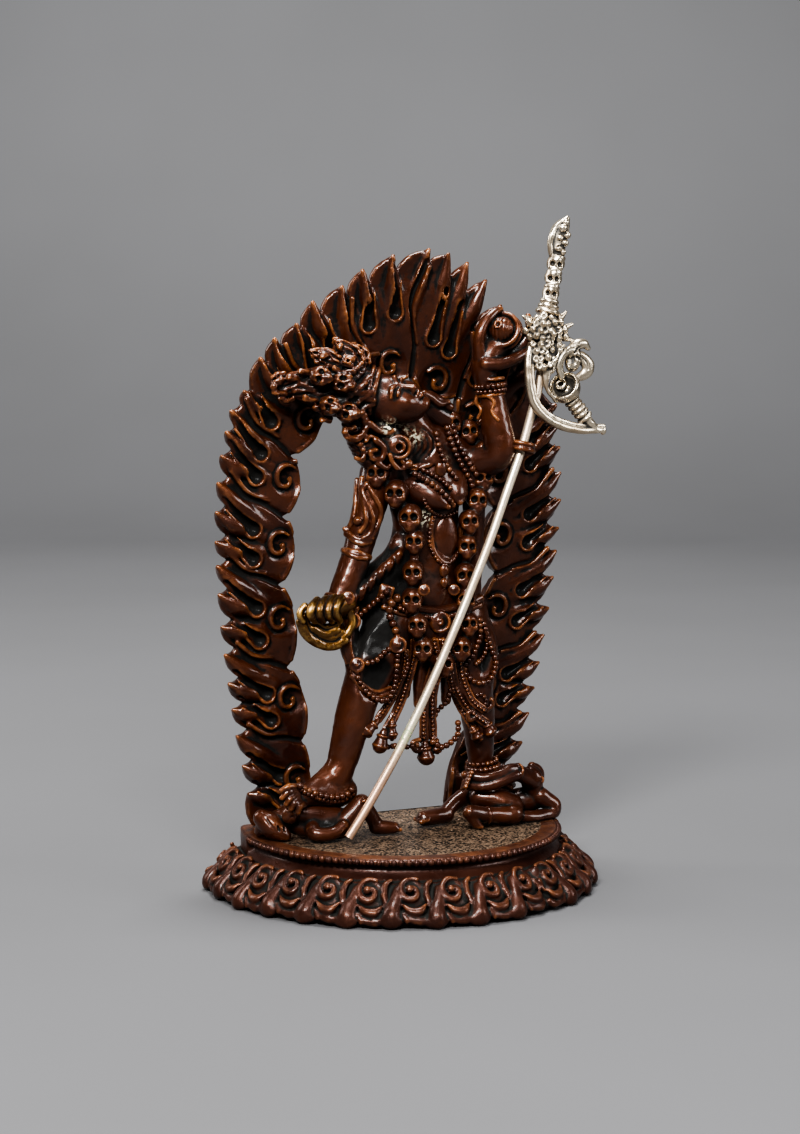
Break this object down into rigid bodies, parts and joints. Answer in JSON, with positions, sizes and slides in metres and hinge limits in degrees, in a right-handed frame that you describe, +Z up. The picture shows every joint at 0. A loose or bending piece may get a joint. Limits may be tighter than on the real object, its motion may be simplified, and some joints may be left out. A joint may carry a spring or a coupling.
{
  "type": "deity statuette",
  "caption": "Cast copper statuette of a dancing goddess with a silver staff, on trampled figures before a horseshoe of flames on a half-round lotus pedestal, for a shelf or altar.",
  "frame": {"origin": "centre of the pedestal's round plan, on its flat underside", "axes": "+Z up to the staff's tip; -Y towards the front of the statuette; +X to the viewer's right when facing it"},
  "size_m": [0.1187, 0.0759, 0.1995],
  "materials": {
    "oxidised_copper": "dark brown oxidised cast copper, raised edges worn to a warmer satin, grey-green grime in the recesses",
    "silver": "bright polished silver with a slight warm tint and soot in the chased lines"
  },
  "bodies": {
    "root": {"base": "oxidised_copper", "flame_aureole": "oxidised_copper", "figure": "oxidised_copper", "trampled_figure_right_foot": "oxidised_copper", "trampled_figure_left_foot": "oxidised_copper", "khatvanga": "silver"}
  },
  "joints": []
}
